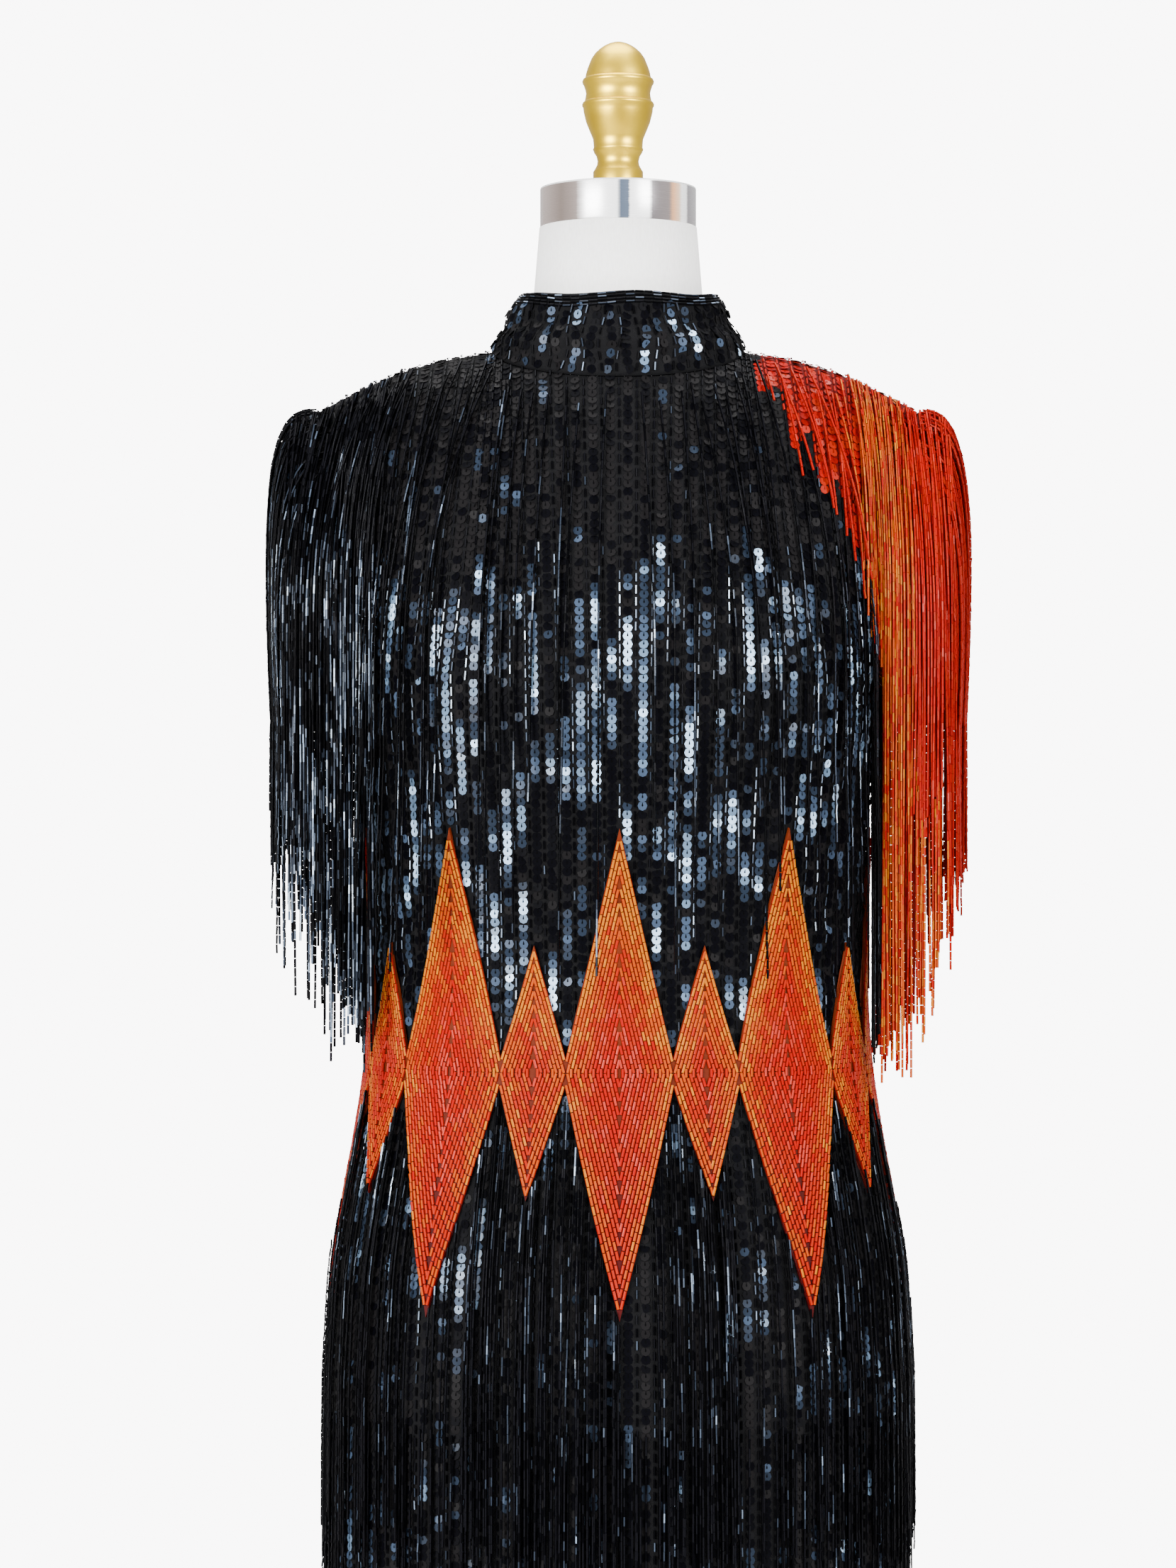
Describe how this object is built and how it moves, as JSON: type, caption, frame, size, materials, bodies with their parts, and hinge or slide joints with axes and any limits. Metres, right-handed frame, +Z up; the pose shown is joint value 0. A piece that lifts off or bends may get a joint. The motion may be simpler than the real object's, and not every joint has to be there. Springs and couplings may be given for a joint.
{
  "type": "fringe dress on a limbless dress form",
  "caption": "Knee-length beaded fringe dress with stand collar, short sleeves and a lozenge border, on a limbless dress form with pole and round base.",
  "frame": {"origin": "middle of the base's underside, on the floor", "axes": "+Z up, the dress's front faces -Y, +X towards the wearer's left"},
  "size_m": [0.448, 0.35, 1.5975],
  "materials": {
    "black_cloth": "dark cloth set close with dark sequins and glass bugle beads",
    "red_cloth": "red cloth set close with red beads",
    "orange_beads": "packed opaque glass bugle beads, orange to red",
    "jet": "glossy black",
    "white_cover": "smooth white jersey",
    "polished_metal": "polished",
    "gilt": "satin gilt",
    "painted_steel": "satin light grey paint"
  },
  "bodies": {
    "root": {"front": "black_cloth", "back_left": "black_cloth", "back_right": "black_cloth", "collar": "black_cloth", "sleeve_right": "black_cloth", "fringe_yoke_front": "black_cloth", "fringe_yoke_back_left": "black_cloth", "fringe_yoke_back_right": "black_cloth", "fringe_sleeve_right": "black_cloth", "fringe_skirt_front": "black_cloth", "fringe_skirt_back_left": "black_cloth", "fringe_skirt_back_right": "black_cloth", "fringe_hem_front": "black_cloth", "fringe_hem_back_left": "black_cloth", "fringe_hem_back_right": "black_cloth", "sleeve_left": "red_cloth", "fringe_sleeve_left": "red_cloth", "band_front": "orange_beads", "band_back_left": "orange_beads", "band_back_right": "orange_beads", "button_lower": "jet", "button_upper": "jet", "form_body": "white_cover", "neck_cap": "polished_metal", "finial": "gilt", "pole": "painted_steel", "base": "painted_steel"}
  },
  "joints": []
}
